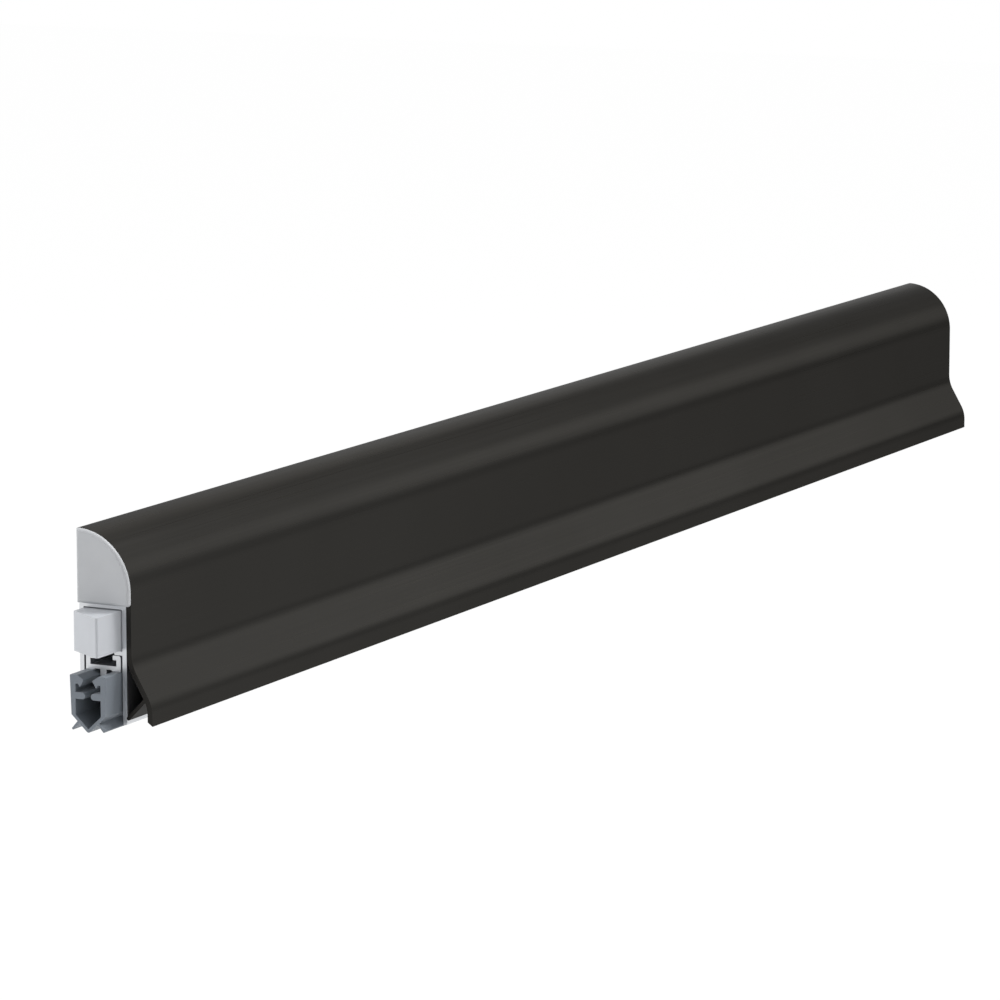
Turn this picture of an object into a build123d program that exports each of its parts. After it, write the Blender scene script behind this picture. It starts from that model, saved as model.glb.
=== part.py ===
from build123d import *
from math import atan, cos, degrees, pi, radians, sin, tan
import os

# Automatic door bottom seal that is fixed to the face of a door, in millimetres.
#
# X runs along the door, with the button at the -X end. The door's face is the plane Y = 0 and the seal
# stands out from it towards -Y. Z points up. The origin is on the door's face at mid length, level with
# the housing's lower edge, which lines up with the bottom of the door.
#
# A cross-section is drawn with u, the distance out from the door's face, and z, the height.

os.makedirs("parts", exist_ok=True)

# Cover profile
cover_length = 630.0
cover_height = 56.1
cover_lift = 0.5  # nose tip above the housing's lower edge
cover_depth = 17.5  # also the radius of the quarter-round top
cover_skin = 1.6
flare_height = 20.85  # start of the flare above the nose tip
flare_angle = 30.0
flare_upper_radius = 12.0
flare_lower_radius = 10.4
nose_depth = 24.25
nose_bevel = 1.15
cover_web = 1.1  # thickness of the slanting web
cover_web_angle = 46.0
cover_toe_height = 2.15  # centre of the web's round toe
cover_gap = 0.3  # between the cover's skin and the housing's front wall
toe_gap = 0.1

# Snap hook between the cover and the housing's flange
hook_gap = 0.15  # round the bead
hook_bead = 0.9  # how far the flange's bead stands out
hook_bead_height = 1.3
hook_leg = 1.1
hook_barb_height = 1.1
flange_gap = 0.35  # between the flange's top and the cover's skin

# Housing profile
housing_inset = 0.5  # from the cover's end to the housing's end
housing_wall = 1.4
housing_height = 35.1  # top of the web that closes the housing
ledge_height = 20.3
ledge_thickness = 1.2
ledge_reach = 2.7
wall_end_radius = 0.65
door_edge_radius = 0.2
profile_radius = 0.3  # small radii of the extruded profiles
fixing_hole_radius = 2.2
fixing_hole_rise = 10.5  # above the top of the housing's web
fixing_hole_inset = 45.0  # outermost holes, from the cover's ends
fixing_hole_count = 4

# End caps
cap_thickness = 1.2
cap_overlap = 0.25  # how far the cap's lower edge hides the housing's web
cap_rim_radius = 0.95
cap_corner_radius = 1.0
spigot_depth = 9.0
spigot_wall = 1.4
spigot_gap = 0.15
spigot_back = 4.2  # back of the spigot, in front of the hook
far_cap_thickness = 1.6

# Push button and rod
slide_gap = 0.3  # round what slides in the housing's chamber
press_travel = 6.0
button_ridge = 13.65  # from the housing's end to the wedge's ridge, before it is rounded
button_heel = 6.0  # from the housing's end to the wedge's back edge
button_inside = 30.0
button_ridge_radius = 0.6
button_edge_radius = 0.35
button_bore_depth = 20.0
rod_radius = 2.0
rod_fit = 0.05
rod_running_gap = 0.1
rod_overrun = 3.0
rod_chamfer = 0.4
rod_end_gap = 1.0  # at the bottom of the button's bore
nut_across_flats = 7.0
nut_thickness = 3.2

# Leaf springs and what holds them
drop_travel = 12.0
spring_inset = 155.0  # a spring's middle, from the cover's nearer end
leaf_width = 6.0
leaf_thickness = 0.5
leaf_gap = 0.25
leaf_seat = 1.8  # underside of the clamped leaf above the ledges' top
leaf_grip = 10.0
leaf_spare_lead = 2.0  # flat stretch left outside the holders
holder_length = 16.0
holder_pocket_depth = 1.6
holder_pocket_height = 5.0
holder_corner = 0.6
holder_shoulder = 2.0  # full width left at each end
rivet_radius = 1.2
rivet_head_radius = 2.0
rivet_head_height = 0.8
rivet_rod_gap = 0.2
rivet_fit = 0.05
anchor_screw_radius = 2.0
anchor_screw_fit = 0.05
anchor_screw_hole_gap = 0.15
anchor_screw_rod_gap = 0.8
anchor_screw_head_radius = 3.5
anchor_screw_head_height = 2.2
anchor_screw_head_chamfer = 0.7
anchor_screw_slot_width = 0.9
anchor_screw_slot_depth = 1.1
grub_radius = 1.5
grub_fit = 0.05
grub_recess = 0.3  # below the slider's top
grub_socket_radius = 0.8
grub_socket_depth = 1.5

# Drop bar
bar_width = 11.6
bar_rest_gap = 0.2  # under the housing's ledges when the seal is up
bar_wall = 1.45
bar_lip_thickness = 1.35
bar_lip_reach = 1.2
bar_channel_height = 1.8
bar_web = 1.15
bar_foot_width = 3.0
bar_foot_height = 0.35
stem_width = 2.05
stem_length = 5.2  # from the web's underside to the bottom of the arrow head
stem_head_width = 6.0
stem_head_thickness = 1.1
stem_head_slope = 0.45
shoe_length = 18.0
shoe_side_gap = 0.15
shoe_top_gap = 0.1
shoe_boss_rise = 0.65  # boss above the bar's lips

# Rubber gasket
gasket_width = 12.0  # at the top
gasket_side_taper = 0.4  # how far each side draws in towards the foot
gasket_gap = 0.05  # under the bar's feet
gasket_overhang = 8.7
gasket_wall = 1.4
gasket_side_height = 11.7
gasket_foot_height = 5.2  # height of the V
gasket_foot_radius = 0.8
gasket_foot_wall = 0.95
gasket_edge_radius = 0.3  # outer edges and the tips of the mouth's lips
lip_flat = 2.5
lip_slope_drop = 1.4
lip_entry = 2.85
lip_barb_drop = 2.1
lip_barb_spread = 5.5
lip_notch_width = 0.9
lip_notch_depth = 2.6
rib_drop = 5.05
rib_thickness = 1.95
rib_gap = 1.9
fin_root = 3.2  # from the centre line to the fin's root
fin_length = 2.95
fin_thickness = 0.7
fin_angle = 49.0

# Places that follow from the sizes above
cover_top = cover_lift + cover_height
housing_length = cover_length - 2 * housing_inset
housing_depth = cover_depth - cover_skin - cover_gap
centre_depth = housing_depth / 2
ledge_top = ledge_height + ledge_thickness
chamber_top = housing_height - housing_wall
chamber_middle = (ledge_top + chamber_top) / 2
chamber_width = housing_depth - 2 * housing_wall
slider_width = chamber_width - 2 * slide_gap
slider_height = chamber_top - ledge_top - 2 * slide_gap
flange_top = cover_top - cover_skin - flange_gap
leaf_end_height = ledge_top + leaf_seat + leaf_thickness / 2
rivet_top = chamber_middle - rod_radius - rod_running_gap - rivet_rod_gap
anchor_screw_bottom = chamber_middle + rod_radius + rod_running_gap + anchor_screw_rod_gap
fixing_hole_height = housing_height + fixing_hole_rise
bar_top = ledge_height - bar_rest_gap
channel_floor = bar_top - bar_lip_thickness - bar_channel_height
bar_web_bottom = channel_floor - bar_web
bar_bottom = bar_web_bottom - bar_foot_height
gasket_top = bar_bottom - gasket_gap
shoe_top = bar_top + shoe_boss_rise
leaf_middle_height = shoe_top + leaf_thickness / 2
leaf_set = leaf_end_height - leaf_middle_height
# a leaf's two bends take up the button's travel as its middle goes down by the drop
leaf_bend_length = pi**2 * ((leaf_set + drop_travel) ** 2 - leaf_set**2) / (8 * press_travel)
slider_lead = leaf_spare_lead + press_travel
cover_end = cover_length / 2
housing_end = housing_length / 2
spring_centres = [spring_inset - cover_end, cover_end - spring_inset]


def section_plane(x):
    """Sketch plane at x that holds u and z and looks towards -X."""
    return Plane(origin=(x, 0, 0), x_dir=(0, -1, 0), z_dir=(-1, 0, 0))


def extruded(sketch, x_from, x_to):
    """Solid of a u-z sketch that runs along X between two places."""
    return extrude(section_plane(x_to) * sketch, amount=x_to - x_from)


def rectangle(u_from, u_to, z_from, z_to):
    """u-z rectangle between two depths and two heights."""
    size = Rectangle(u_to - u_from, z_to - z_from)
    return Pos((u_from + u_to) / 2, (z_from + z_to) / 2) * size


def block(x_from, x_to, u_from, u_to, z_from, z_to):
    """Box between two places on each axis."""
    return extruded(rectangle(u_from, u_to, z_from, z_to), x_from, x_to)


def upright(radius, x, z_from, z_to):
    """Vertical cylinder in the middle plane of the chamber."""
    return Pos(x, -centre_depth, (z_from + z_to) / 2) * Cylinder(radius, z_to - z_from)


def along(radius, x_from, x_to, z):
    """Cylinder along X in the middle of the chamber."""
    place = Pos((x_from + x_to) / 2, -centre_depth, z) * Rot(0, 90, 0)
    return place * Cylinder(radius, x_to - x_from)


def mirrored(outline):
    """Closed face from the points of its front half, given from the centre line and back to it."""
    front = [(centre_depth + half, z) for half, z in outline]
    back = [(centre_depth - half, z) for half, z in reversed(outline) if half > 0]
    return make_face(Polyline(*front, *back, close=True))


def corners_at(sketch, places, slack=0.05):
    """Corners of a sketch that lie at the given u-z places."""
    return [
        v for v in sketch.vertices()
        if any(abs(v.X - u) < slack and abs(v.Y - z) < slack for u, z in places)
    ]


def write(node, shape):
    """Write one sub-part's STEP file."""
    export_step(shape, f"parts/{node}.step")


def cover_line(inset):
    """Edges of the cover's front line, from the top at the door down to the nose, set in by a distance."""
    top = CenterArc((0, cover_top - cover_depth), cover_depth - inset, 0, 90)
    start = (cover_depth - inset, cover_top - cover_depth)
    bend = (cover_depth - inset, cover_lift + flare_height)
    front = Line(start, bend)
    upper = JernArc(bend, (0, -1), flare_upper_radius + inset, flare_angle)
    turned = radians(flare_angle)
    bends = (flare_upper_radius + flare_lower_radius) * (1 - cos(turned))
    slope_length = (nose_depth - cover_depth - bends) / sin(turned)
    slope = Line(upper @ 1, (upper @ 1) + slope_length * (upper % 1))
    lower = JernArc(slope @ 1, slope % 1, flare_lower_radius - inset, -flare_angle)
    bevel = nose_bevel if inset else 0
    nose = Line(lower @ 1, ((lower @ 1).X, cover_lift + bevel))
    return [top, front, upper, slope, lower, nose]


def cover_profile():
    """Extruded cover: skin, slanting web with its round toe, and the hook that snaps on the flange."""
    outer, inner = cover_line(0), cover_line(cover_skin)
    back = Line((0, cover_top), (0, cover_top - cover_skin))
    tip = Line(outer[-1] @ 1, inner[-1] @ 1)
    skin = make_face(Wire([*outer, tip, *inner, back]))

    # what stands inside the cover is drawn too long and ends in the middle of the skin
    middle = cover_line(cover_skin / 2)
    low = middle[-1] @ 1
    sill = Polyline(low, (low.X, cover_lift), (0, cover_lift), middle[0] @ 1)
    inside = make_face(Wire([*middle, *sill.edges()]))

    toe_u = housing_depth + toe_gap + cover_web / 2
    rise = (nose_depth - toe_u) * tan(radians(cover_web_angle))
    run = Line((toe_u, cover_toe_height), (nose_depth, cover_toe_height + rise))
    across = Vector(-sin(radians(cover_web_angle)), cos(radians(cover_web_angle))) * cover_web / 2
    web = make_face(
        Polyline(run @ 0 + across, run @ 1 + across, run @ 1 - across, run @ 0 - across, close=True)
    )
    toe = Pos(toe_u, cover_toe_height) * Circle(cover_web / 2)

    leg_u = housing_wall + hook_bead + hook_gap
    bead_bottom = flange_top - hook_bead_height
    barb_bottom = bead_bottom - hook_gap - hook_barb_height
    leg = rectangle(leg_u, leg_u + hook_leg, barb_bottom, cover_top)
    barb = make_face(
        Polyline(
            (leg_u, bead_bottom - hook_gap),
            (housing_wall + hook_gap, bead_bottom - hook_gap),
            (leg_u, barb_bottom),
            close=True,
        )
    )
    return extruded(skin + (web + toe + leg + barb & inside), -cover_end, cover_end)


def housing_profile():
    """Extruded housing: fixing flange, chamber, ledges and the open channel for the drop bar."""
    depth, wall = housing_depth, housing_wall
    back = rectangle(0, wall, 0, flange_top)
    front = rectangle(depth - wall, depth, 0, housing_height)
    web = rectangle(0, depth, chamber_top, housing_height)
    back_ledge = rectangle(0, wall + ledge_reach, ledge_height, ledge_top)
    front_ledge = rectangle(depth - wall - ledge_reach, depth, ledge_height, ledge_top)
    bead = make_face(
        Polyline(
            (wall, flange_top),
            (wall + hook_bead, flange_top - hook_bead_height),
            (wall, flange_top - hook_bead_height),
            close=True,
        )
    )
    outline = back + front + web + back_ledge + front_ledge + bead
    ends = [(wall, 0), (depth - wall, 0), (depth, 0)]
    outline = fillet(corners_at(outline, ends), wall_end_radius)
    outline = fillet(corners_at(outline, [(0, 0)]), door_edge_radius)
    tips = [
        (u, z)
        for u in (wall + ledge_reach, depth - wall - ledge_reach)
        for z in (ledge_height, ledge_top)
    ]
    outline = fillet(corners_at(outline, [*tips, (depth, housing_height)]), profile_radius)
    body = extruded(outline, -housing_end, housing_end)

    outermost = cover_end - fixing_hole_inset
    for n in range(fixing_hole_count):
        x = outermost * (2 * n / (fixing_hole_count - 1) - 1)
        place = Pos(x, -wall / 2, fixing_hole_height) * Rot(90, 0, 0)
        body -= place * Cylinder(fixing_hole_radius, 2 * wall)
    for x in spring_centres:
        hole = anchor_screw_radius + anchor_screw_hole_gap
        body -= upright(hole, anchor_middle(x), chamber_top - wall, housing_height + wall)
    return body


def spigot_outline(inset=0.0):
    """Outline that fits the hollow between the cover, the flange and the housing's web."""
    gap = spigot_gap + inset
    radius = cover_depth - cover_skin - gap
    round_top = Pos(0, cover_top - cover_depth) * Circle(radius)
    straight = rectangle(0, radius, 0, cover_top - cover_depth)
    return rectangle(spigot_back + inset, radius, housing_height + gap, cover_top) & (
        round_top + straight
    )


def spigot(x_root, x_end):
    """Hollow moulded spigot with one rib, which holds a cap in the cover's end."""
    low, high = min(x_root, x_end), max(x_root, x_end)
    shell = extruded(spigot_outline() - spigot_outline(spigot_wall), low, high)
    middle = (spigot_back + cover_depth - cover_skin) / 2
    rib = rectangle(middle - spigot_wall / 2, middle + spigot_wall / 2, housing_height, cover_top)
    return shell + extruded(rib & spigot_outline(), low, high)


def button_end_cap():
    """Moulded cap with a rounded rim, over the part of the cover's end above the button."""
    bottom = housing_height - cap_overlap
    straight = rectangle(0, cover_depth, 0, cover_top - cover_depth)
    round_top = Pos(0, cover_top - cover_depth) * Circle(cover_depth)
    outline = rectangle(0, cover_depth, bottom, cover_top)
    outline = fillet(corners_at(outline, [(cover_depth, bottom)]), cap_corner_radius)
    plate = extruded(outline & (round_top + straight), -cover_end - cap_thickness, -cover_end)
    plate = fillet(plate.faces().sort_by(Axis.X)[0].edges(), cap_rim_radius)
    return plate + spigot(-cover_end, -cover_end + spigot_depth)


def far_end_cap():
    """Moulded cap that sits inside the cover, level with its end."""
    plate = extruded(spigot_outline(), cover_end - far_cap_thickness, cover_end)
    return plate + spigot(cover_end - far_cap_thickness, cover_end - spigot_depth)


def push_button():
    """Wedge-ended block that fills the housing's chamber and is bored for the rod."""
    back = centre_depth - slider_width / 2
    front = centre_depth + slider_width / 2
    inner = -housing_end + button_inside
    plan = make_face(
        Polyline(
            (inner, -back),
            (-housing_end - button_heel, -back),
            (-housing_end - button_ridge, -front),
            (inner, -front),
            close=True,
        )
    )
    low = chamber_middle - slider_height / 2
    body = extrude(Pos(0, 0, low) * plan, amount=slider_height)
    ridge = body.edges().filter_by(Axis.Z).sort_by(Axis.X)[0]
    body = fillet(ridge, button_ridge_radius)
    heel = body.edges().filter_by(Axis.Z).group_by(Axis.Y)[-1].sort_by(Axis.X)[0]
    body = fillet(heel, button_edge_radius)
    bore_start = inner - button_bore_depth
    body -= along(rod_radius + rod_fit, bore_start, inner, chamber_middle)
    return body


def rod_start():
    """Place of the rod's end inside the button."""
    return -housing_end + button_inside - button_bore_depth + rod_end_gap


def push_rod():
    """Round rod from the button to the second slider."""
    end = spring_centres[-1] - slider_face() + rod_overrun
    body = along(rod_radius, rod_start(), end, chamber_middle)
    return chamfer(body.edges().filter_by(GeomType.CIRCLE), rod_chamfer)


def button_lock_nut():
    """Hexagon nut that locks the rod in the button."""
    start = -housing_end + button_inside
    hexagon = RegularPolygon(nut_across_flats / 2, 6, major_radius=False)
    outline = Pos(centre_depth, chamber_middle) * (hexagon - Circle(rod_radius + rod_fit))
    return extruded(outline, start, start + nut_thickness)


def slider_face():
    """Distance from a spring's centre to its slider's face."""
    return shoe_length / 2 + leaf_bend_length + slider_lead


def anchor_face():
    """Distance from a spring's centre to its anchor's face."""
    return shoe_length / 2 + leaf_bend_length + leaf_spare_lead


def anchor_middle(centre):
    """Place of an anchor's middle, where its screw is."""
    return centre + anchor_face() + holder_length / 2


def slider_middle(centre):
    """Place of a slider's middle, where its grub screw is."""
    return centre - slider_face() - holder_length / 2


def holder(x_from, x_to, gap, rod_hole):
    """Moulded block with waisted sides that fits the chamber and is bored for the rod."""
    half = chamber_width / 2 - slide_gap
    body = block(
        x_from, x_to, centre_depth - half, centre_depth + half, ledge_top + gap, chamber_top - gap
    )
    body = chamfer(body.edges().filter_by(Axis.X), holder_corner)
    waist = chamber_middle - holder_pocket_height / 2
    for u in (centre_depth - half, centre_depth + half - holder_pocket_depth):
        body -= block(
            x_from + holder_shoulder,
            x_to - holder_shoulder,
            u,
            u + holder_pocket_depth,
            waist,
            waist + holder_pocket_height,
        )
    return body - along(rod_hole, x_from, x_to, chamber_middle)


def leaf_pocket(x_from, x_to):
    """Slot for the clamped end of a leaf."""
    half = leaf_width / 2 + leaf_gap
    return block(
        x_from,
        x_to,
        centre_depth - half,
        centre_depth + half,
        leaf_end_height - leaf_thickness / 2 - leaf_gap,
        leaf_end_height + leaf_thickness / 2 + leaf_gap,
    )


def rivet_place(centre, side):
    """Place of the rivet in a slider (side -1) or an anchor (side 1)."""
    if side < 0:
        return centre - slider_face() - leaf_grip / 2
    return centre + anchor_face() + leaf_grip / 2


def spring_anchor(centre):
    """Block that is screwed under the housing's web, guides the rod and holds a leaf's end."""
    face = centre + anchor_face()
    body = holder(face, face + holder_length, 0, rod_radius + rod_running_gap)
    body -= leaf_pocket(face, face + leaf_grip + leaf_gap)
    bore = anchor_screw_radius + anchor_screw_fit
    body -= upright(bore, anchor_middle(centre), anchor_screw_bottom - anchor_screw_fit, chamber_top)
    body -= rivet_bore(rivet_place(centre, 1), ledge_top)
    return body


def spring_slider(centre):
    """Block that is fixed on the rod and pushes a leaf's end."""
    face = centre - slider_face()
    body = holder(face - holder_length, face, slide_gap, rod_radius + rod_fit)
    body -= leaf_pocket(face - leaf_grip - leaf_gap, face)
    top = chamber_top - slide_gap
    body -= upright(grub_radius + grub_fit, slider_middle(centre), chamber_middle, top)
    body -= rivet_bore(rivet_place(centre, -1), ledge_top + slide_gap)
    return body


def rivet_bore(x, z_from):
    """Hole for a leaf's rivet."""
    return upright(rivet_radius + rivet_fit, x, z_from, rivet_top + rivet_fit)


def end_rivet(x, seat):
    """Rivet that holds a leaf's end from below, with its head under the block."""
    shank = upright(rivet_radius, x, seat, rivet_top)
    return shank + upright(rivet_head_radius, x, seat - rivet_head_height, seat)


def leaf_spring(centre):
    """Spring strip: clamped flat at both ends, with two bends down to a flat middle on the shoe."""
    start = centre - slider_face() - leaf_grip
    end = centre + anchor_face() + leaf_grip
    turn = 2 * degrees(atan(leaf_set / leaf_bend_length))
    radius = leaf_bend_length / 2 / sin(radians(turn))

    def line(offset):
        """Edges of one face of the strip, offset from its middle line."""
        first = Line(
            (start, leaf_end_height + offset),
            (centre - shoe_length / 2 - leaf_bend_length, leaf_end_height + offset),
        )
        down_1 = JernArc(first @ 1, (1, 0), radius + offset, -turn)
        down_2 = JernArc(down_1 @ 1, down_1 % 1, radius - offset, turn)
        flat = Line(down_2 @ 1, (centre + shoe_length / 2, (down_2 @ 1).Y))
        up_1 = JernArc(flat @ 1, (1, 0), radius - offset, turn)
        up_2 = JernArc(up_1 @ 1, up_1 % 1, radius + offset, -turn)
        last = Line(up_2 @ 1, (end, (up_2 @ 1).Y))
        return [first, down_1, down_2, flat, up_1, up_2, last]

    upper, lower = line(leaf_thickness / 2), line(-leaf_thickness / 2)
    ends = [Line(upper[0] @ 0, lower[0] @ 0), Line(upper[-1] @ 1, lower[-1] @ 1)]
    strip = make_face(Wire([*upper, *lower, *ends]))
    front = Plane(origin=(0, -centre_depth, 0), x_dir=(1, 0, 0), z_dir=(0, -1, 0))
    body = extrude(front * strip, amount=leaf_width / 2, both=True)
    for x in (rivet_place(centre, -1), centre, rivet_place(centre, 1)):
        hole = rivet_radius + 2 * rivet_fit
        body -= upright(hole, x, leaf_middle_height - leaf_set, leaf_end_height + leaf_set)
    return body


def anchor_screw(centre):
    """Pan-head screw from above the housing's web into a spring anchor."""
    x = anchor_middle(centre)
    shank = upright(anchor_screw_radius, x, anchor_screw_bottom, housing_height)
    head = upright(
        anchor_screw_head_radius, x, housing_height, housing_height + anchor_screw_head_height
    )
    head = chamfer(head.edges().group_by(Axis.Z)[-1], anchor_screw_head_chamfer)
    head_top = housing_height + anchor_screw_head_height
    head -= block(
        x - anchor_screw_head_radius,
        x + anchor_screw_head_radius,
        centre_depth - anchor_screw_slot_width / 2,
        centre_depth + anchor_screw_slot_width / 2,
        head_top - anchor_screw_slot_depth,
        head_top,
    )
    return shank + head


def slider_grub_screw(centre):
    """Grub screw that clamps a slider on the rod."""
    bottom = chamber_middle + rod_radius + grub_fit
    top = chamber_top - slide_gap - grub_recess
    body = upright(grub_radius, slider_middle(centre), bottom, top)
    socket = RegularPolygon(grub_socket_radius, 6)
    place = Pos(slider_middle(centre), -centre_depth, top)
    return body - extrude(place * socket, amount=-grub_socket_depth)


def drop_bar():
    """Extruded bar: C-shaped channel on top, feet, and the arrow-headed stem that holds the gasket."""
    half = bar_width / 2
    body = rectangle(centre_depth - half, centre_depth + half, bar_web_bottom, bar_top)
    body -= rectangle(
        centre_depth - half + bar_wall,
        centre_depth + half - bar_wall,
        channel_floor,
        bar_top - bar_lip_thickness,
    )
    mouth = half - bar_wall - bar_lip_reach
    body -= rectangle(centre_depth - mouth, centre_depth + mouth, channel_floor, bar_top)
    corners = [(centre_depth - half, bar_top), (centre_depth + half, bar_top)]
    body = fillet(corners_at(body, corners), bar_lip_thickness / 2)
    for side in (-1, 1):
        edge = centre_depth + side * half
        inner = edge - side * bar_foot_width
        body += rectangle(min(edge, inner), max(edge, inner), bar_bottom, bar_web_bottom)
    bottom = bar_web_bottom - stem_length
    head_top = bottom + stem_head_thickness
    body += mirrored(
        [
            (stem_width / 2, bar_web_bottom),
            (stem_width / 2, head_top + stem_head_slope),
            (stem_head_width / 2, head_top),
            (stem_head_width / 2, bottom + stem_head_thickness / 2),
            (stem_head_width / 2 - stem_head_thickness / 2, bottom),
        ]
    )
    return extruded(body, -housing_end, housing_end)


def spring_shoe(centre):
    """Shoe held in the drop bar's channel, with a boss between the lips that carries a leaf's middle."""
    half = bar_width / 2 - bar_wall - shoe_side_gap
    boss_half = half - bar_lip_reach
    x_from, x_to = centre - shoe_length / 2, centre + shoe_length / 2
    lip_bottom = bar_top - bar_lip_thickness
    plate = block(
        x_from, x_to, centre_depth - half, centre_depth + half, channel_floor, lip_bottom - shoe_top_gap
    )
    boss = block(
        x_from, x_to, centre_depth - boss_half, centre_depth + boss_half, channel_floor, shoe_top
    )
    body = plate + boss
    return body - upright(rivet_radius + rivet_fit, centre, channel_floor, shoe_top)


def shoe_rivet(centre):
    """Rivet that holds a leaf's middle on its shoe, with its head on the leaf."""
    leaf_top = leaf_middle_height + leaf_thickness / 2
    shank = upright(rivet_radius, centre, channel_floor + rivet_fit, leaf_top)
    return shank + upright(rivet_head_radius, centre, leaf_top, leaf_top + rivet_head_height)


def seal_gasket():
    """Extruded rubber: barbed mouth round the bar's stem, ribs, hollow foot in a V, and two fins."""
    top_half = gasket_width / 2
    half = top_half - gasket_side_taper
    side_bottom = gasket_top - gasket_side_height
    apex = side_bottom - gasket_foot_height
    outer = mirrored([(top_half, gasket_top), (half, side_bottom), (0, apex)])

    inner_half = half - gasket_wall
    notch_top = gasket_top - lip_notch_depth
    barb_tip = gasket_top - lip_slope_drop - lip_barb_drop
    rib_top = gasket_top - rib_drop
    rib_bottom = rib_top - rib_thickness
    mouth = mirrored(
        [
            (top_half - lip_flat, gasket_top),
            (lip_entry / 2, gasket_top - lip_slope_drop),
            (lip_barb_spread / 2, barb_tip),
            (inner_half - lip_notch_width, notch_top),
            (inner_half, notch_top),
            (inner_half, rib_top),
        ]
    )
    slope = gasket_foot_height / half
    foot_wall = gasket_foot_wall * (1 + slope**2) ** 0.5
    foot = mirrored(
        [
            (inner_half, rib_bottom),
            (inner_half, apex + foot_wall + slope * inner_half),
            (0, apex + foot_wall),
        ]
    )
    between = rectangle(
        centre_depth - rib_gap / 2 - rib_thickness / 2,
        centre_depth + rib_gap / 2 + rib_thickness / 2,
        rib_bottom,
        rib_top,
    )
    outline = outer - mouth - foot - between
    for side in (-1, 1):
        rib_end = centre_depth + side * (rib_gap + rib_thickness) / 2
        outline += Pos(rib_end, (rib_top + rib_bottom) / 2) * Circle(rib_thickness / 2)
        root = Pos(centre_depth + side * fin_root, apex + slope * fin_root + fin_thickness / 2)
        tilt = Rot(0, 0, -fin_angle if side > 0 else fin_angle - 180)
        fin = Pos(fin_length / 2, 0) * Rectangle(fin_length, fin_thickness)
        fin += Pos(fin_length, 0) * Circle(fin_thickness / 2)
        outline += root * tilt * fin
    outline = fillet(corners_at(outline, [(centre_depth, apex)]), gasket_foot_radius)
    edges = [
        (top_half, gasket_top),
        (top_half - lip_flat, gasket_top),
        (lip_entry / 2, gasket_top - lip_slope_drop),
        (half, side_bottom),
    ]
    places = [(centre_depth + side * u, z) for side in (-1, 1) for u, z in edges]
    outline = fillet(corners_at(outline, places), gasket_edge_radius)
    end = housing_end + gasket_overhang
    return extruded(outline, -end, end)


write("cover_profile", cover_profile())
write("housing_profile", housing_profile())
write("button_end_cap", button_end_cap())
write("far_end_cap", far_end_cap())
write("push_button", push_button())
write("button_lock_nut", button_lock_nut())
write("push_rod", push_rod())
write("drop_bar", drop_bar())
write("seal_gasket", seal_gasket())
for number, spring_centre in enumerate(spring_centres, 1):
    write(f"spring_anchor_{number}", spring_anchor(spring_centre))
    write(f"spring_slider_{number}", spring_slider(spring_centre))
    write(f"leaf_spring_{number}", leaf_spring(spring_centre))
    write(f"spring_shoe_{number}", spring_shoe(spring_centre))
    write(f"anchor_screw_{number}", anchor_screw(spring_centre))
    write(f"slider_grub_screw_{number}", slider_grub_screw(spring_centre))
    write(f"anchor_rivet_{number}", end_rivet(rivet_place(spring_centre, 1), ledge_top))
    write(f"slider_rivet_{number}", end_rivet(rivet_place(spring_centre, -1), ledge_top + slide_gap))
    write(f"shoe_rivet_{number}", shoe_rivet(spring_centre))
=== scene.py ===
from math import cos, pi, radians, sin

import bmesh
import bpy
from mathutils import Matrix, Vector


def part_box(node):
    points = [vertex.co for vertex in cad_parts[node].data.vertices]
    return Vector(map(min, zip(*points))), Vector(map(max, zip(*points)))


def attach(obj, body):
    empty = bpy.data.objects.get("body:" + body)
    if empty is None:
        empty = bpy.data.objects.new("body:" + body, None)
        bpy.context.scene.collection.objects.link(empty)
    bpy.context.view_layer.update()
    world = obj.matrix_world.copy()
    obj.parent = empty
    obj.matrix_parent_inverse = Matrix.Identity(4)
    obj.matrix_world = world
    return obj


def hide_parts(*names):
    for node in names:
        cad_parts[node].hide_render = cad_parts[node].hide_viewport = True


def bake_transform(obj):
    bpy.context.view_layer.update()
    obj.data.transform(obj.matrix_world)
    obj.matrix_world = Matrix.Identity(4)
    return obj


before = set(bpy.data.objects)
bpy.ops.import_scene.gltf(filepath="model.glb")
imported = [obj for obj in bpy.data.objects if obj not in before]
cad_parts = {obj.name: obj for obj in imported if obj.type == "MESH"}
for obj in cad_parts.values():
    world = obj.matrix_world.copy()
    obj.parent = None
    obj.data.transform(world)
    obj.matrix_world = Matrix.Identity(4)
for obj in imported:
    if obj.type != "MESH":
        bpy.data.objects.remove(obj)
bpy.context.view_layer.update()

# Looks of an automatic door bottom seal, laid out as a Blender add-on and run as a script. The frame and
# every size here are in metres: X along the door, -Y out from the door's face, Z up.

bl_info = {
    "name": "Door bottom seal",
    "version": (1, 0, 0),
    "blender": (4, 5, 0),
    "location": "3D View > Sidebar > Seal",
    "description": "Finishes, leaf springs and studio for an automatic door bottom seal",
    "category": "Object",
}

MM = 0.001
SPRING_NUMBERS = (1, 2)  # the nodes of a leaf spring end in its number
SENSOR_WIDTH = 36.0  # of the camera, in mm
SHARP_EDGE = radians(20)  # faces that meet at more than this keep a sharp edge
WELD = 0.001 * MM  # points nearer than this are one point
NOISE_LOW, NOISE_HIGH = 0.3, 0.7  # most values of a noise pattern lie between these
LINE_STRETCH = 250  # how many times longer than wide a die line is
WHITE = (1.0, 1.0, 1.0, 1.0)
BRONZE_EDGE = (0.4, 0.4, 0.4, 1.0)  # the dark dye keeps the metal from turning white at the edges

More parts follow.
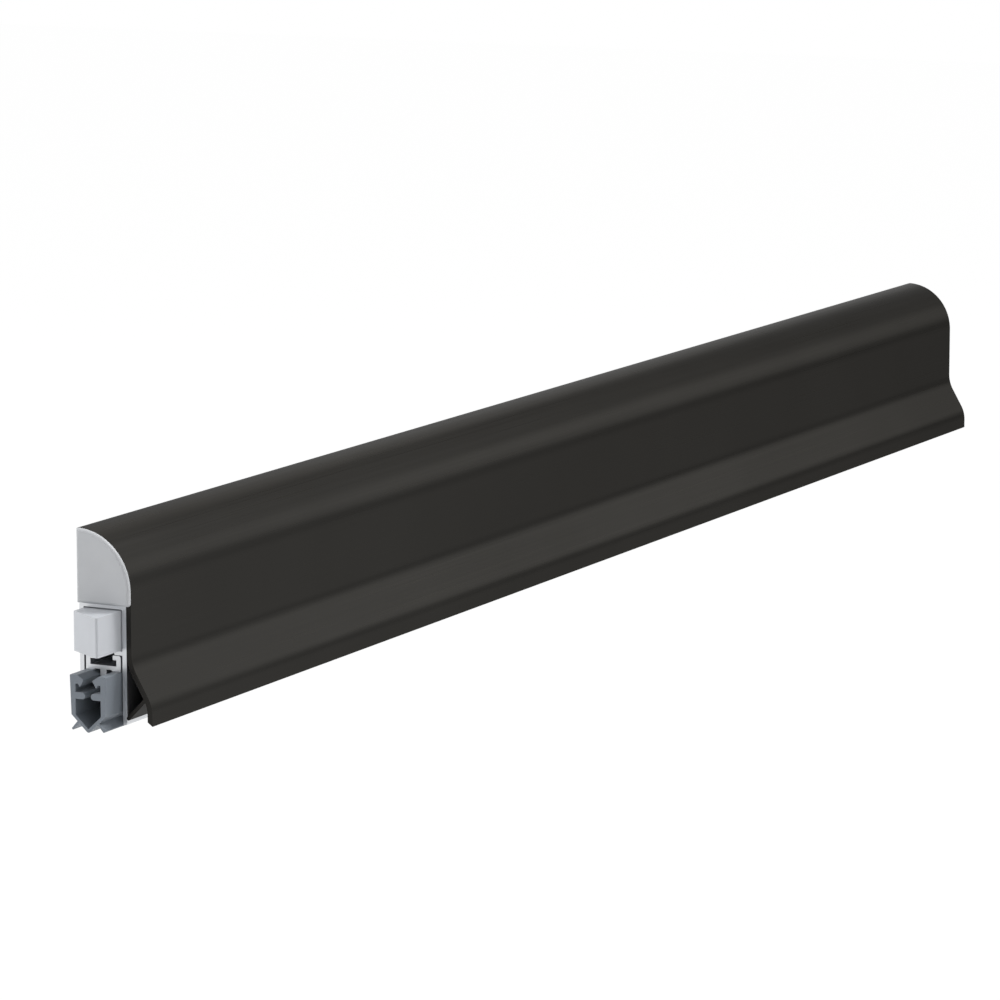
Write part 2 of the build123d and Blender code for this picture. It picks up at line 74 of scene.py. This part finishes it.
# Round soft lamps. Azimuth is in degrees from +X towards +Y, elevation in degrees, distance and size in
# metres and power in watts.
LAMPS = {
    # Lights the faces at the button end.
    "left_lamp": {"azimuth": 126.0, "elevation": 28.0, "distance": 2.2, "size": 1.2, "power": 18.0},
    # Lights the end parts' front sides and puts a wide highlight on the cover's round top.
    "front_lamp": {"azimuth": -60.0, "elevation": 58.0, "distance": 2.6, "size": 0.9, "power": 50.0},
    # Its reflection is the soft band low on the round top and over the flare.
    "band_lamp": {"azimuth": -24.0, "elevation": 12.3, "distance": 3.0, "size": 0.9, "power": 2.0},
    # Its reflection is the line along the top.
    "top_lamp": {"azimuth": 22.0, "elevation": 28.5, "distance": 3.0, "size": 1.15, "power": 5.2},
}


def linear(hex_colour):
    """Linear RGBA of an sRGB hex colour such as #30302E."""
    channels = [int(hex_colour[i:i + 2], 16) / 255 for i in (1, 3, 5)]
    return [c / 12.92 if c <= 0.04045 else ((c + 0.055) / 1.055) ** 2.4 for c in channels] + [1.0]


def colour_property(name, hex_colour, description):
    """Colour setting with an sRGB default."""
    return bpy.props.FloatVectorProperty(
        name=name,
        description=description,
        subtype="COLOR",
        size=4,
        min=0.0,
        max=1.0,
        default=linear(hex_colour),
    )


def size_property(name, size, description):
    """Length setting, shown in the scene's units."""
    return bpy.props.FloatProperty(
        name=name, description=description, unit="LENGTH", min=0.0, precision=5, default=size
    )


class SealFinishes(bpy.types.PropertyGroup):
    """Colours and pattern sizes of the seal's materials.

    Real etching, plating, moulding and rubber have a grain of 0.1 mm or less. It is drawn coarser, so
    that it shows in the render."""

    bronze: colour_property("Bronze", "#3D3C3A", "Dark bronze anodised cover")
    # Darker than the bronze: painted shade on the sawn ends, which face along X and catch less of the
    # lamps.
    bronze_cut_painted_shade: colour_property("Bronze, cut", "#302F2D", "Sawn ends of the cover")
    aluminium: colour_property("Aluminium", "#DCDEE1", "Natural anodised housing and drop bar")
    cap_grey: colour_property("Cap grey", "#B8BABD", "Moulded end caps")
    button_grey: colour_property("Button grey", "#BEC1C6", "Moulded push button")
    rubber_grey: colour_property("Rubber grey", "#70777F", "Extruded gasket")
    zinc: colour_property("Zinc", "#B9BAB6", "Zinc-plated rod, nut and screws")
    spring_grey: colour_property("Spring steel", "#8E8F90", "Rolled leaf springs")
    acetal_black: colour_property("Acetal black", "#141415", "Moulded sliders, anchors and shoes")
    die_line: size_property("Die line", 0.5 * MM, "Spacing of the lines that the die leaves")
    sheen_patch: size_property("Sheen patch", 60 * MM, "Size of the faint patches in the anodising")
    etch_grain: size_property("Etch grain", 0.25 * MM, "Grain of the satin etch under the anodising")
    mould_grain: size_property("Mould grain", 0.3 * MM, "Grain of the moulded surfaces")
    flow_patch: size_property("Flow patch", 8 * MM, "Size of the faint patches in moulded plastic")
    rubber_grain: size_property("Rubber grain", 0.4 * MM, "Grain of the extruded rubber")
    bloom_patch: size_property("Bloom patch", 12 * MM, "Size of the patches of bloom on the rubber")
    zinc_grain: size_property("Zinc grain", 0.4 * MM, "Crystals of the zinc plating and the rivets")
    rolled_grain: size_property("Rolled grain", 0.2 * MM, "Grain of the rolled spring steel")


class SealCover(bpy.types.PropertyGroup):
    """Section of the cover. Its length, top, nose and foot come from the frame."""

    depth: size_property("Depth", 17.5 * MM, "From the door to the flat front, and the top's radius")
    skin: size_property("Skin", 1.6 * MM, "Thickness of the cover")
    flare_height: size_property("Flare height", 20.85 * MM, "Start of the flare above the nose's tip")
    flare_angle: bpy.props.FloatProperty(
        name="Flare angle", description="Slope of the flare", subtype="ANGLE", default=radians(30)
    )
    upper_radius: size_property("Upper radius", 12.0 * MM, "Bend above the flare, outside")
    lower_radius: size_property("Lower radius", 10.4 * MM, "Bend below the flare, outside")
    nose_bevel: size_property("Nose bevel", 1.15 * MM, "Height of the bevel inside the nose")
    web: size_property("Web", 1.1 * MM, "Thickness of the slanting web")
    web_angle: bpy.props.FloatProperty(
        name="Web angle", description="Slope of the web", subtype="ANGLE", default=radians(46)
    )
    toe_height: size_property("Toe height", 2.15 * MM, "Middle of the web's round toe")
    toe_gap: size_property("Toe gap", 0.1 * MM, "From the toe to the housing")
    hook_leg: size_property("Hook leg", 1.1 * MM, "Thickness of the hook's leg")
    hook_place: size_property("Hook place", 2.45 * MM, "From the door to the hook's leg")
    hook_reach: size_property("Hook reach", 0.9 * MM, "How far the barb stands out from the leg")
    hook_drop: size_property("Hook drop", 1.45 * MM, "From the flange's top down to the barb")
    barb_height: size_property("Barb height", 1.1 * MM, "Height of the barb")
    arc_step: bpy.props.FloatProperty(
        name="Arc step", description="Angle between points on a bend", subtype="ANGLE", default=radians(2)
    )
    toe_step: bpy.props.FloatProperty(
        name="Toe step", description="Angle between points on the toe", subtype="ANGLE", default=radians(8)
    )


class SealSprings(bpy.types.PropertyGroup):
    """Sizes of the leaf springs. Their width and places come from the frame."""

    thickness: size_property("Thickness", 0.5 * MM, "Thickness of a leaf")
    spare_lead: size_property("Spare lead", 2.0 * MM, "Flat stretch left before a leaf bends")
    tab_reach: size_property("Tab reach", 2.6 * MM, "How far the clamped end shows past its slider")
    tab_lap: size_property("Tab lap", 0.2 * MM, "How far the clamped end overlaps the leaf")
    tab_skin: size_property("Tab skin", 0.05 * MM, "How far the clamped end stands out round the leaf")
    bend_parts: bpy.props.IntProperty(
        name="Bend parts", description="Straight stretches that make up a bend", min=4, default=32
    )


class SealStage(bpy.types.PropertyGroup):
    """Studio, and the camera that was fitted to the edges in the photo."""

    floor_drop: size_property("Floor drop", 0.35, "From the housing's lower edge down to the floor")
    floor_size: size_property("Floor size", 12.0, "Side of the square floor")
    paper: colour_property("Paper", "#F0F0F0", "Floor")
    paper_tooth: size_property("Paper tooth", 2 * MM, "Size of the floor's faint mottling")
    paper_white: bpy.props.FloatProperty(
        name="Paper white", description="Brightness of the floor's plain white", min=0.0, default=1.03
    )
    paper_plain: bpy.props.FloatProperty(
        name="Paper plain",
        description="Share of plain white in what the camera sees of the floor. The rest takes shadows",
        subtype="FACTOR",
        min=0.0,
        max=1.0,
        default=0.93,
    )
    aim_height: size_property("Aim height", 30 * MM, "Height of the point that the lamps face")
    camera_place: bpy.props.FloatVectorProperty(
        name="Camera place",
        description="Where the camera stands",
        subtype="TRANSLATION",
        default=(-1.53498, -0.75074, 0.30633),
    )
    camera_azimuth: bpy.props.FloatProperty(
        name="Camera azimuth",
        description="Direction of view, from +X towards +Y",
        subtype="ANGLE",
        default=radians(26.753),
    )
    camera_dip: bpy.props.FloatProperty(
        name="Camera dip",
        description="How far the view points down",
        subtype="ANGLE",
        default=radians(9.612),
    )
    lens: bpy.props.FloatProperty(
        name="Lens", description="Focal length", subtype="DISTANCE_CAMERA", default=181.9
    )
    room_light: bpy.props.FloatProperty(
        name="Room light", description="Strength of the even light", min=0.0, default=0.56
    )
    horizon: bpy.props.FloatProperty(
        name="Horizon",
        description="White left along the horizon",
        subtype="FACTOR",
        min=0.0,
        max=1.0,
        default=0.5,
    )
    horizon_reach: bpy.props.FloatProperty(
        name="Horizon reach",
        description="How far above and below the horizon reflections are darker",
        subtype="ANGLE",
        default=radians(8),
    )


def add(tree, kind, values=(), links=(), **settings):
    """Add a shader node: its settings, the values of its inputs and the sockets linked to them."""
    new = tree.nodes.new(kind)
    for name, value in settings.items():
        setattr(new, name, value)
    for socket, value in dict(values).items():
        new.inputs[socket].default_value = value
    for socket, source in dict(links).items():
        tree.links.new(source, new.inputs[socket])
    return new


def empty_material(name):
    """Material with no nodes but its output, and the node tree."""
    material = bpy.data.materials.new(name)
    material.use_nodes = True
    tree = material.node_tree
    tree.nodes.clear()
    return material, tree


def finish(tree, shader):
    """Link the last shader to the material's output."""
    add(tree, "ShaderNodeOutputMaterial", links={"Surface": shader.outputs[0]})


def drawn_lines(tree, spacing):
    """Lines along X that an extrusion die leaves: noise drawn out lengthways."""
    place = add(tree, "ShaderNodeTexCoord")
    scale = (1 / LINE_STRETCH, 1.0, 1.0)
    stretched = add(tree, "ShaderNodeMapping", {"Scale": scale}, {"Vector": place.outputs["Object"]})
    return add(
        tree,
        "ShaderNodeTexNoise",
        {"Scale": 1 / spacing, "Detail": 3.0},
        {"Vector": stretched.outputs[0]},
    )


def grain(tree, size, detail=2.0):
    """Even grain of a real size."""
    place = add(tree, "ShaderNodeTexCoord")
    return add(
        tree,
        "ShaderNodeTexNoise",
        {"Scale": 1 / size, "Detail": detail},
        {"Vector": place.outputs["Object"]},
    )


def varied(tree, pattern, middle, spread):
    """A number that goes a little below and above its middle value with a pattern."""
    ends = {"To Min": middle - spread, "To Max": middle + spread}
    return add(
        tree,
        "ShaderNodeMapRange",
        {"From Min": NOISE_LOW, "From Max": NOISE_HIGH, **ends},
        {"Value": pattern.outputs[0]},
    )


def toned(tree, colour, pattern, spread):
    """The colour, darker and lighter by a small share with a pattern."""
    bright = varied(tree, pattern, 1.0, spread)
    return add(
        tree,
        "ShaderNodeMixRGB",
        {"Fac": 1.0, "Color1": colour},
        {"Color2": bright.outputs[0]},
        blend_type="MULTIPLY",
    )


def anodised(name, colour, finishes, roughness, metallic, edge_tint):
    """Anodised aluminium: extruded, satin-etched and sealed.

    The etch gives a soft, wide highlight, and the die's lines show faintly along the profile. A clear
    oxide layer scatters some light, which makes the natural finish less of a mirror."""
    material, tree = empty_material(name)
    lines = drawn_lines(tree, finishes.die_line)
    etch = grain(tree, finishes.etch_grain)
    patches = grain(tree, finishes.sheen_patch)
    line_bump = add(
        tree,
        "ShaderNodeBump",
        {"Strength": 0.1, "Distance": 0.01 * MM},
        {"Height": lines.outputs[0]},
    )
    bump = add(
        tree,
        "ShaderNodeBump",
        {"Strength": 0.15, "Distance": 0.01 * MM},
        {"Height": etch.outputs[0], "Normal": line_bump.outputs[0]},
    )
    shader = add(
        tree,
        "ShaderNodeBsdfPrincipled",
        {"Metallic": metallic, "Specular Tint": edge_tint},
        {
            "Base Color": toned(tree, colour, patches, spread=0.03).outputs[0],
            "Roughness": varied(tree, lines, roughness, spread=0.03).outputs[0],
            "Normal": bump.outputs[0],
        },
    )
    finish(tree, shader)
    return material


def moulded(name, colour, finishes, roughness):
    """Injection-moulded plastic, such as ABS or acetal, from a mould with an eroded surface.

    Its fine grain breaks up the highlight, and the flow of the melt leaves faint patches."""
    material, tree = empty_material(name)
    fine = grain(tree, finishes.mould_grain)
    flow = grain(tree, finishes.flow_patch)
    bump = add(
        tree,
        "ShaderNodeBump",
        {"Strength": 0.2, "Distance": 0.02 * MM},
        {"Height": fine.outputs[0]},
    )
    shader = add(
        tree,
        "ShaderNodeBsdfPrincipled",
        {"IOR": 1.49},
        {
            "Base Color": toned(tree, colour, flow, spread=0.02).outputs[0],
            "Roughness": varied(tree, fine, roughness, spread=0.05).outputs[0],
            "Normal": bump.outputs[0],
        },
    )
    finish(tree, shader)
    return material


def extruded_rubber(name, colour, finishes):
    """Extruded rubber, such as EPDM: dull, with faint lines from the die along it and a thin bloom, which
    lightens it at the edges."""
    material, tree = empty_material(name)
    lines = drawn_lines(tree, finishes.die_line)
    fine = grain(tree, finishes.rubber_grain)
    bloom = grain(tree, finishes.bloom_patch, detail=4.0)
    line_bump = add(
        tree,
        "ShaderNodeBump",
        {"Strength": 0.2, "Distance": 0.03 * MM},
        {"Height": lines.outputs[0]},
    )
    bump = add(
        tree,
        "ShaderNodeBump",
        {"Strength": 0.25, "Distance": 0.03 * MM},
        {"Height": fine.outputs[0], "Normal": line_bump.outputs[0]},
    )
    shader = add(
        tree,
        "ShaderNodeBsdfPrincipled",
        {"IOR": 1.5, "Sheen Weight": 0.1, "Sheen Roughness": 0.5},
        {
            "Base Color": toned(tree, colour, bloom, spread=0.04).outputs[0],
            "Roughness": varied(tree, fine, middle=0.55, spread=0.05).outputs[0],
            "Normal": bump.outputs[0],
        },
    )
    finish(tree, shader)
    return material


def plain_metal(name, colour, size, roughness):
    """Bare metal surface: zinc plating, a drawn aluminium rivet or rolled spring steel.

    Its fine crystals make the reflections soft and slightly uneven."""
    material, tree = empty_material(name)
    fine = grain(tree, size)
    bump = add(
        tree,
        "ShaderNodeBump",
        {"Strength": 0.15, "Distance": 0.01 * MM},
        {"Height": fine.outputs[0]},
    )
    shader = add(
        tree,
        "ShaderNodeBsdfPrincipled",
        {"Metallic": 1.0},
        {
            "Base Color": toned(tree, colour, fine, spread=0.05).outputs[0],
            "Roughness": varied(tree, fine, roughness, spread=0.05).outputs[0],
            "Normal": bump.outputs[0],
        },
    )
    finish(tree, shader)
    return material


def paint(material, *nodes):
    """Give CAD nodes one material."""
    for name in nodes:
        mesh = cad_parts[name].data
        mesh.materials.clear()
        mesh.materials.append(material)


def pairs(*stems):
    """Names of the nodes that each spring has."""
    return [f"{stem}_{number}" for stem in stems for number in SPRING_NUMBERS]


def arc(centre, radius, start, end, step):
    """Points on an arc in a u-z section, from one angle to another."""
    count = max(1, round(abs(end - start) / step))
    turns = [start + (end - start) * n / count for n in range(count + 1)]
    return [centre + radius * Vector((cos(t), sin(t))) for t in turns]


def cover_line(cover, inset):
    """Points of the cover's front line, from the top at the door down to the nose."""
    low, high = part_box("cover_profile")
    front, slope = cover.depth - inset, cover.flare_angle
    upper, lower = cover.upper_radius + inset, cover.lower_radius - inset
    crown = Vector((0.0, high.z - cover.depth))
    bend = Vector((front, low.z + cover.flare_height))
    # The two bends reach outwards, and the straight part of the flare makes up the rest.
    bends = (cover.upper_radius + cover.lower_radius) * (1 - cos(slope))
    run = (-low.y - cover.depth - bends) / sin(slope)
    points = arc(crown, front, pi / 2, 0.0, cover.arc_step)
    points += arc(bend + Vector((upper, 0.0)), upper, pi, pi + slope, cover.arc_step)
    turned = points[-1] + run * Vector((sin(slope), -cos(slope)))
    low_centre = turned - lower * Vector((cos(slope), sin(slope)))
    points += arc(low_centre, lower, slope, 0.0, cover.arc_step)
    bevel = cover.nose_bevel if inset else 0.0
    return points + [Vector((points[-1].x, low.z + bevel))]


def crossing(line, place, direction):
    """Where a line of points crosses a straight line, and the number of the next point."""
    across = Vector((-direction.y, direction.x))
    for n, (a, b) in enumerate(zip(line, line[1:])):
        side_a, side_b = (a - place).dot(across), (b - place).dot(across)
        if side_a * side_b <= 0 and side_a != side_b:
            return a.lerp(b, side_a / (side_a - side_b)), n + 1
    raise ValueError("the two lines don't cross")


def cover_outline(cover):
    """Closed outline of the cover's section: skin, web with its toe, and hook."""
    outer = cover_line(cover, 0.0)
    inner = list(reversed(cover_line(cover, cover.skin)))

    along = Vector((cos(cover.web_angle), sin(cover.web_angle)))
    across = Vector((-along.y, along.x)) * cover.web / 2
    housing_front = -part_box("housing_profile")[0].y
    toe = Vector((housing_front + cover.toe_gap + cover.web / 2, cover.toe_height))
    below, web_from = crossing(inner, toe - across, along)
    above, web_to = crossing(inner, toe + across, along)
    turn = cover.web_angle - pi / 2
    round_toe = arc(toe, cover.web / 2, turn, turn - pi, cover.toe_step)

    upper = inner[web_to:]
    upright = Vector((0.0, 1.0))
    back, front = cover.hook_place, cover.hook_place + cover.hook_leg
    root_front, hook_from = crossing(upper, Vector((front, 0.0)), upright)
    root_back, hook_to = crossing(upper, Vector((back, 0.0)), upright)
    barb_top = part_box("housing_profile")[1].z - cover.hook_drop
    hook = [
        root_front,
        Vector((front, barb_top - cover.barb_height)),
        Vector((back, barb_top - cover.barb_height)),
        Vector((back - cover.hook_reach, barb_top)),
        Vector((back, barb_top)),
        root_back,
    ]
    lower = [*inner[:web_from], below, *round_toe, above]
    return [*outer, *lower, *upper[:hook_from], *hook, *upper[hook_to:]]


def bar(name, rings):
    """Object with faces from each ring of points to the next and across both ends, smooth round its bends
    and sharp at its corners."""
    shape = bmesh.new()
    rings = [[shape.verts.new(point) for point in ring] for ring in rings]
    for ring, following in zip(rings, rings[1:]):
        for n in range(len(ring)):
            m = (n + 1) % len(ring)
            shape.faces.new((ring[n], ring[m], following[m], following[n]))
    shape.faces.new(rings[0])
    shape.faces.new(rings[-1])
    bmesh.ops.remove_doubles(shape, verts=shape.verts, dist=WELD)
    bmesh.ops.recalc_face_normals(shape, faces=shape.faces)
    mesh = bpy.data.meshes.new(name)
    shape.to_mesh(mesh)
    shape.free()
    mesh.shade_smooth()
    mesh.set_sharp_from_angle(angle=SHARP_EDGE)
    piece = bpy.data.objects.new(name, mesh)
    bpy.context.scene.collection.objects.link(piece)
    return piece


class SEAL_OT_cover(bpy.types.Operator):
    """Make the cover with true bends and finish it in dark bronze anodising"""

    bl_idname = "seal.cover"
    bl_label = "Cover"

    def execute(self, context):
        finishes = context.scene.seal_finishes
        low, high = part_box("cover_profile")
        outline = cover_outline(context.scene.seal_cover)
        piece = bar("cover", [[(x, -p.x, p.y) for p in outline] for x in (low.x, high.x)])
        for name, colour, roughness in (
            ("bronze_anodised_aluminium", finishes.bronze, 0.3),
            ("bronze_anodised_saw_cut_painted_shade", finishes.bronze_cut_painted_shade, 0.4),
        ):
            bronze = anodised(name, colour, finishes, roughness, metallic=1.0, edge_tint=BRONZE_EDGE)
            piece.data.materials.append(bronze)
        # The sawn ends, whose normals lie along X, get the second material. It is the bronze darker, as
        # painted shade, and rougher from the saw.
        for face in piece.data.polygons:
            face.material_index = round(abs(face.normal.x))  # the second material on the sawn ends
        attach(piece, "housing")
        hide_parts("cover_profile")
        return {"FINISHED"}


class SEAL_OT_profiles(bpy.types.Operator):
    """Finish the housing and the drop bar in natural anodising"""

    bl_idname = "seal.profiles"
    bl_label = "Housing and drop bar"

    def execute(self, context):
        finishes = context.scene.seal_finishes
        natural = anodised(
            "natural_anodised_aluminium",
            finishes.aluminium,
            finishes,
            roughness=0.35,
            metallic=0.93,
            edge_tint=WHITE,
        )
        paint(natural, "housing_profile", "drop_bar")
        return {"FINISHED"}


class SEAL_OT_mouldings(bpy.types.Operator):
    """Finish the caps, the button and the moulded blocks"""

    bl_idname = "seal.mouldings"
    bl_label = "Mouldings"

    def execute(self, context):
        finishes = context.scene.seal_finishes
        blocks = pairs("spring_anchor", "spring_slider", "spring_shoe")
        for name, colour, roughness, nodes in (
            ("abs_cap_grey", finishes.cap_grey, 0.45, ["button_end_cap", "far_end_cap"]),
            ("acetal_button_grey", finishes.button_grey, 0.4, ["push_button"]),
            ("acetal_black", finishes.acetal_black, 0.35, blocks),
        ):
            paint(moulded(name, colour, finishes, roughness), *nodes)
        return {"FINISHED"}


class SEAL_OT_gasket(bpy.types.Operator):
    """Finish the gasket as extruded rubber"""

    bl_idname = "seal.gasket"
    bl_label = "Gasket"

    def execute(self, context):
        finishes = context.scene.seal_finishes
        paint(extruded_rubber("epdm_rubber_grey", finishes.rubber_grey, finishes), "seal_gasket")
        return {"FINISHED"}


class SEAL_OT_fixings(bpy.types.Operator):
    """Finish the rod, nut, screws and rivets"""

    bl_idname = "seal.fixings"
    bl_label = "Rod and fixings"

    def execute(self, context):
        finishes = context.scene.seal_finishes
        plated = ["push_rod", "button_lock_nut", *pairs("anchor_screw", "slider_grub_screw")]
        rivets = pairs("anchor_rivet", "slider_rivet", "shoe_rivet")
        for name, colour, roughness, nodes in (
            ("zinc_plated_steel", finishes.zinc, 0.35, plated),
            ("aluminium_rivet", finishes.aluminium, 0.4, rivets),
        ):
            paint(plain_metal(name, colour, finishes.zinc_grain, roughness), *nodes)
        return {"FINISHED"}


def strip(name, line, y_middle, width, thickness):
    """Flat strip that follows an x-z line."""
    corners = ((-0.5, -0.5), (0.5, -0.5), (0.5, 0.5), (-0.5, 0.5))
    rings = [[(x, y_middle + a * width, z + b * thickness) for a, b in corners] for x, z in line]
    return bar(name, rings)


def bent_half(x_end, x_bend, x_shoe, x_middle, z_end, z_shoe, parts):
    """Line of half a leaf: flat from its end, down in the curve of a strip held at both ends, and flat
    on the shoe."""
    shares = [n / parts for n in range(parts + 1)]
    bend = [
        (x_bend + (x_shoe - x_bend) * t, z_end + (z_shoe - z_end) * t * t * (3 - 2 * t))
        for t in shares
    ]
    return [(x_end, z_end), *bend, (x_middle, z_shoe)]


class SEAL_OT_leaf_springs(bpy.types.Operator):
    """Make the leaf springs in rolled spring steel: a fixed half, a moving half and a clamped tab that
    rides on the plunger
    """

    bl_idname = "seal.leaf_springs"
    bl_label = "Leaf springs"

    def execute(self, context):
        springs = context.scene.seal_springs
        finishes = context.scene.seal_finishes
        thickness = springs.thickness
        steel = plain_metal(
            "rolled_spring_steel", finishes.spring_grey, finishes.rolled_grain, roughness=0.3
        )
        for number in SPRING_NUMBERS:
            low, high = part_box(f"leaf_spring_{number}")
            shoe_from, shoe_to = (corner.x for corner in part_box(f"spring_shoe_{number}"))
            slider_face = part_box(f"spring_slider_{number}")[1].x
            anchor_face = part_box(f"spring_anchor_{number}")[0].x
            middle = (shoe_from + shoe_to) / 2
            y_middle, width = (low.y + high.y) / 2, high.y - low.y
            z_end, z_shoe = high.z - thickness / 2, low.z + thickness / 2
            fixed_bend = anchor_face - springs.spare_lead
            moving_bend = shoe_from - (fixed_bend - shoe_to)
            moving_end = slider_face + springs.tab_reach - springs.tab_lap
            halves = (
                (f"leaf_fixed_half_{number}", high.x, fixed_bend, shoe_to),
                (f"leaf_moving_half_{number}", moving_end, moving_bend, shoe_from),
            )
            pieces = []
            for name, x_end, x_bend, x_shoe in halves:
                line = bent_half(x_end, x_bend, x_shoe, middle, z_end, z_shoe, springs.bend_parts)
                piece = strip(name, line, y_middle, width, thickness)
                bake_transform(piece)
                pieces.append(piece)
            skin = 2 * springs.tab_skin
            tab_line = [(low.x, z_end), (slider_face + springs.tab_reach, z_end)]
            tab = strip(f"leaf_tab_{number}", tab_line, y_middle, width + skin, thickness + skin)
            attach(tab, "plunger")
            for piece in (*pieces, tab):
                piece.data.materials.append(steel)
                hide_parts(f"leaf_spring_{number}")
        return {"FINISHED"}


class SEAL_OT_stage(bpy.types.Operator):
    """Set up the floor, the lamps and the camera"""

    bl_idname = "seal.stage"
    bl_label = "Stage"

    def execute(self, context):
        settings = context.scene.seal_stage
        context.scene.view_settings.view_transform = "Standard"
        lay_floor(settings)
        context.scene.world = studio_room(settings)
        aim = Vector((0.0, 0.0, settings.aim_height))
        for name, place in LAMPS.items():
            hang_lamp(name, aim, **place)
        context.scene.camera = stand_camera(settings)
        return {"FINISHED"}


def lay_floor(settings):
    """Square floor under the seal."""
    half = settings.floor_size / 2
    mesh = bpy.data.meshes.new("floor")
    corners = [(-half, -half), (half, -half), (half, half), (-half, half)]
    mesh.from_pydata([(x, y, -settings.floor_drop) for x, y in corners], [], [range(len(corners))])
    mesh.materials.append(white_paper(settings))
    floor = bpy.data.objects.new("floor", mesh)
    bpy.context.scene.collection.objects.link(floor)


def unit_vector(azimuth, elevation):
    """Vector of length 1 that points to an azimuth and an elevation."""
    level = cos(elevation)
    return Vector((level * cos(azimuth), level * sin(azimuth), sin(elevation)))


def hang_lamp(name, aim, azimuth, elevation, distance, size, power):
    """Soft lamp that faces the point aim."""
    lamp = bpy.data.lights.new(name, "AREA")
    lamp.shape = "DISK"
    lamp.size = size
    lamp.energy = power
    holder = bpy.data.objects.new(name, lamp)
    bpy.context.scene.collection.objects.link(holder)
    away = unit_vector(radians(azimuth), radians(elevation))
    holder.location = aim + distance * away
    holder.rotation_euler = away.to_track_quat("Z", "Y").to_euler()


def stand_camera(settings):
    """Camera at the photograph's viewing angle."""
    camera = bpy.data.cameras.new("camera")
    camera.lens = settings.lens
    camera.sensor_width = SENSOR_WIDTH
    holder = bpy.data.objects.new("camera", camera)
    bpy.context.scene.collection.objects.link(holder)
    view = unit_vector(settings.camera_azimuth, -settings.camera_dip)
    holder.location = settings.camera_place
    holder.rotation_euler = view.to_track_quat("-Z", "Y").to_euler()
    return holder


def camera_or_gloss(tree):
    """1 where the camera or a reflection looks at something, 0 where it only gives light."""
    ray = add(tree, "ShaderNodeLightPath")
    return add(
        tree,
        "ShaderNodeMath",
        {},
        {0: ray.outputs["Is Camera Ray"], 1: ray.outputs["Is Glossy Ray"]},
        operation="MAXIMUM",
    )


def white_paper(settings):
    """Matt paper floor that the camera sees as white, with a little of the shadow that the seal leaves."""
    material, tree = empty_material("white_paper_floor")
    tooth = grain(tree, settings.paper_tooth)
    paper = add(
        tree,
        "ShaderNodeBsdfPrincipled",
        {"Roughness": 0.9, "IOR": 1.3},
        {"Base Color": toned(tree, settings.paper, tooth, spread=0.01).outputs[0]},
    )
    white = add(tree, "ShaderNodeEmission", {"Color": WHITE, "Strength": settings.paper_white})
    share = add(
        tree,
        "ShaderNodeMath",
        {1: settings.paper_plain},
        {0: camera_or_gloss(tree).outputs[0]},
        operation="MULTIPLY",
    )
    mixed = add(
        tree, "ShaderNodeMixShader", {}, {0: share.outputs[0], 1: paper.outputs[0], 2: white.outputs[0]}
    )
    finish(tree, mixed)
    return material


def studio_room(settings):
    """Even light from all round, and plain white for the camera.

    A reflection meets the same white, darker along the horizon, which draws thin dark lines along the
    cover's bends."""
    world = bpy.data.worlds.new("studio")
    world.use_nodes = True
    tree = world.node_tree
    tree.nodes.clear()
    place = add(tree, "ShaderNodeTexCoord")
    height = add(tree, "ShaderNodeSeparateXYZ", {}, {0: place.outputs["Generated"]})
    from_horizon = add(tree, "ShaderNodeMath", {}, {0: height.outputs["Z"]}, operation="ABSOLUTE")
    shade = add(
        tree,
        "ShaderNodeMapRange",
        {"From Max": sin(settings.horizon_reach), "To Min": settings.horizon},
        {"Value": from_horizon.outputs[0]},
        interpolation_type="SMOOTHSTEP",
    )
    ray = add(tree, "ShaderNodeLightPath")
    brightness = add(
        tree,
        "ShaderNodeMath",
        {},
        {0: shade.outputs[0], 1: ray.outputs["Is Camera Ray"]},
        operation="MAXIMUM",
    )
    light = add(tree, "ShaderNodeBackground", {"Color": WHITE, "Strength": settings.room_light})
    white = add(tree, "ShaderNodeBackground", {"Color": WHITE}, {"Strength": brightness.outputs[0]})
    mixed = add(
        tree,
        "ShaderNodeMixShader",
        {},
        {0: camera_or_gloss(tree).outputs[0], 1: light.outputs[0], 2: white.outputs[0]},
    )
    add(tree, "ShaderNodeOutputWorld", {}, {"Surface": mixed.outputs[0]})
    return world


OPERATORS = (
    SEAL_OT_cover,
    SEAL_OT_profiles,
    SEAL_OT_mouldings,
    SEAL_OT_gasket,
    SEAL_OT_fixings,
    SEAL_OT_leaf_springs,
    SEAL_OT_stage,
)
GROUPS = {
    "seal_finishes": SealFinishes,
    "seal_cover": SealCover,
    "seal_springs": SealSprings,
    "seal_stage": SealStage,
}


class SEAL_PT_panel(bpy.types.Panel):
    """The seal's settings and the buttons that make its pieces"""

    bl_idname = "SEAL_PT_panel"
    bl_label = "Door bottom seal"
    bl_space_type = "VIEW_3D"
    bl_region_type = "UI"
    bl_category = "Seal"

    def draw(self, context):
        for group in GROUPS:
            settings = getattr(context.scene, group)
            box = self.layout.box()
            for name in settings.__annotations__:
                box.prop(settings, name)
        for operator in OPERATORS:
            self.layout.operator(operator.bl_idname)


def register():
    """Register the classes and hang the settings on the scene."""
    for cls in (*GROUPS.values(), *OPERATORS, SEAL_PT_panel):
        bpy.utils.register_class(cls)
    for name, group in GROUPS.items():
        setattr(bpy.types.Scene, name, bpy.props.PointerProperty(type=group))


def unregister():
    """Take the settings and classes away again."""
    for name in GROUPS:
        delattr(bpy.types.Scene, name)
    for cls in reversed((*GROUPS.values(), *OPERATORS, SEAL_PT_panel)):
        bpy.utils.unregister_class(cls)


def main():
    """Make the pieces in order."""
    register()
    bpy.ops.seal.cover()
    bpy.ops.seal.profiles()
    bpy.ops.seal.mouldings()
    bpy.ops.seal.gasket()
    bpy.ops.seal.fixings()
    bpy.ops.seal.leaf_springs()
    bpy.ops.seal.stage()


if __name__ == "__main__":
    main()
